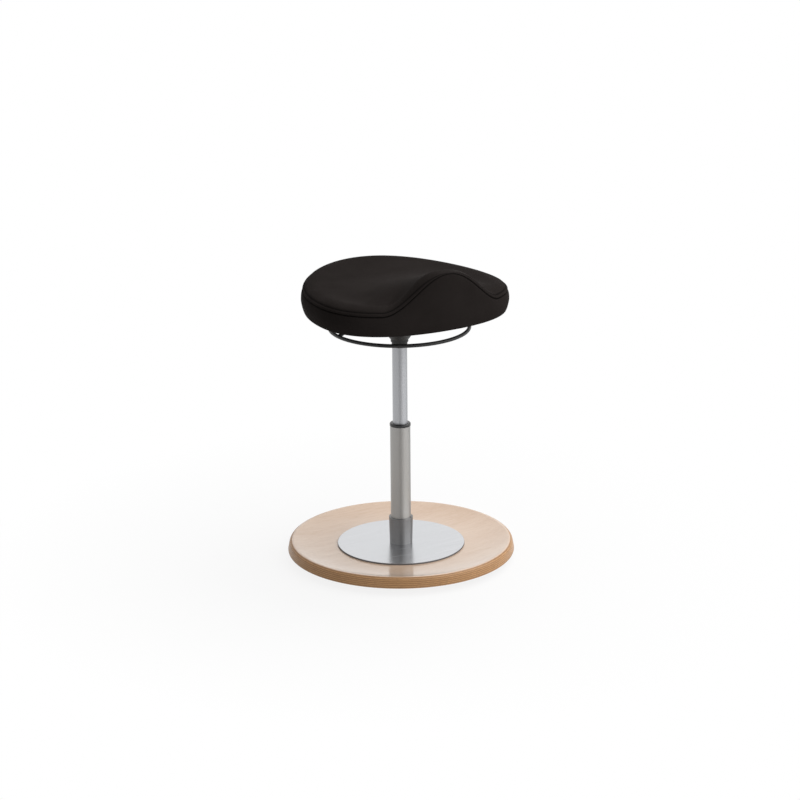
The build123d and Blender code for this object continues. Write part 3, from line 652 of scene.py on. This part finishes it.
# Studio: a pale floor that fades into a white surround, lit softly from the right and from above.
# A dark flag stands behind the camera, and the bright metal shows it as a dark line.
CAMERA_AZIMUTH = math.radians(-30.26)
FLOOR_SIZE = 14.0
FLOOR_PALE = (0.80, 0.80, 0.80, 1)
FLOOR_SHADE_SHARE = 0.14
FLOOR_SHADE_NEAR = 0.30
FLOOR_SHADE_FAR = 0.80
FLAG_BLACK = (0.03, 0.03, 0.03, 1)
FLAG_AWAY = 6.2
FLAG_HALF_WIDTH = 1.8
FLAG_HEIGHT = 1.9
SURROUND_FILL = 0.33
LAMP_AIM = Vector((0, 0, 0.3))
RIGHT_LAMP_PLACE = (2.3, 0.6, 2.2)
RIGHT_LAMP_SIZE = (4.6, 4.3)
RIGHT_LAMP_POWER = 100
TOP_LAMP_PLACE = (0.6, -0.9, 2.6)
TOP_LAMP_SIZE = (1.8, 1.8)
TOP_LAMP_POWER = 32


def from_camera(right, toward, up):
    """A place given from the camera's side: to its right, towards it, and up."""
    ahead = Vector((math.sin(CAMERA_AZIMUTH), -math.cos(CAMERA_AZIMUTH), 0))
    aside = Vector((math.cos(CAMERA_AZIMUTH), math.sin(CAMERA_AZIMUTH), 0))
    return aside * right + ahead * toward + Vector((0, 0, up))


def seen_share(tree):
    """1 for what the camera sees straight, in gloss or through glass, and 0 for soft light."""
    rays = add_node(tree, "ShaderNodeLightPath")
    seen = work_out(tree, "MAXIMUM", rays.outputs["Is Camera Ray"], rays.outputs["Is Glossy Ray"])
    return work_out(tree, "MAXIMUM", seen, rays.outputs["Is Transmission Ray"])


def flat_card(name, corners, material):
    """A four-cornered card of the studio."""
    mesh = bpy.data.meshes.new(name)
    mesh.from_pydata(corners, [], [(0, 1, 2, 3)])
    mesh.materials.append(material)
    card = bpy.data.objects.new(name, mesh)
    bpy.context.collection.objects.link(card)


def soft_lamp(name, place, size, power):
    """An oblong area lamp aimed at the stool."""
    lamp = bpy.data.lights.new(name, "AREA")
    lamp.shape = "RECTANGLE"
    lamp.size, lamp.size_y = size
    lamp.energy = power
    holder = bpy.data.objects.new(name, lamp)
    bpy.context.collection.objects.link(holder)
    holder.location = place
    holder.rotation_euler = (LAMP_AIM - place).to_track_quat("-Z", "Y").to_euler()


pale, tree, shader = new_finish("pale_floor", FLOOR_PALE, rough=0.9)
glow = add_node(tree, "ShaderNodeEmission", Color=(1, 1, 1, 1), Strength=1.0)
blend = add_node(tree, "ShaderNodeMixShader")
away = add_node(tree, "ShaderNodeVectorMath", {"operation": "LENGTH"})
feed(tree, away.inputs[0], object_place(tree))
white = level(tree, away.outputs["Value"], FLOOR_SHADE_NEAR, FLOOR_SHADE_FAR, 1 - FLOOR_SHADE_SHARE, 1.0)
feed(tree, blend.inputs[0], work_out(tree, "MULTIPLY", seen_share(tree), white))
feed(tree, blend.inputs[1], shader.outputs[0])
feed(tree, blend.inputs[2], glow.outputs[0])
feed(tree, tree.nodes["Material Output"].inputs["Surface"], blend.outputs[0])
half = FLOOR_SIZE / 2
floor_corners = [(-half, -half, 0), (half, -half, 0), (half, half, 0), (-half, half, 0)]
flat_card("studio_floor", floor_corners, pale)
black, _, _ = new_finish("black_flag", FLAG_BLACK, rough=0.9)
half = FLAG_HALF_WIDTH
flag_corners = [(-half, 0), (half, 0), (half, FLAG_HEIGHT), (-half, FLAG_HEIGHT)]
flat_card("dark_flag", [from_camera(right, FLAG_AWAY, up) for right, up in flag_corners], black)

world = bpy.data.worlds.new("white_studio")
bpy.context.scene.world = world
world.use_nodes = True
tree = world.node_tree
surround = tree.nodes["Background"]
surround.inputs["Color"].default_value = (1, 1, 1, 1)
feed(tree, surround.inputs["Strength"], level(tree, seen_share(tree), 0.0, 1.0, SURROUND_FILL, 1.0))
soft_lamp("right_lamp", from_camera(*RIGHT_LAMP_PLACE), RIGHT_LAMP_SIZE, RIGHT_LAMP_POWER)
soft_lamp("top_lamp", from_camera(*TOP_LAMP_PLACE), TOP_LAMP_SIZE, TOP_LAMP_POWER)


# Camera: at the photograph's angle, with a long lens, a hair out of level.
# It stands in front of the dark flag and looks down on the stool's front from its -X side.
CAMERA_ELEVATION = math.radians(17.55)
CAMERA_DISTANCE = 5.0
CAMERA_TARGET = Vector((0, 0, 0.3071))
CAMERA_LENS = 120.6
CAMERA_ROLL = math.radians(0.45)
camera_data = bpy.data.cameras.new("photo_camera")
camera_data.sensor_width = 36.0
camera_data.lens = CAMERA_LENS
camera_data.clip_end = 60.0
camera = bpy.data.objects.new("photo_camera", camera_data)
bpy.context.collection.objects.link(camera)
back = from_camera(0, math.cos(CAMERA_ELEVATION), math.sin(CAMERA_ELEVATION))
camera.location = CAMERA_TARGET + back * CAMERA_DISTANCE
level_view = (-back).to_track_quat("-Z", "Y").to_matrix()
camera.rotation_euler = (level_view @ Matrix.Rotation(-CAMERA_ROLL, 3, "Z")).to_euler()
bpy.context.scene.camera = camera
bpy.context.scene.view_settings.view_transform = "Standard"
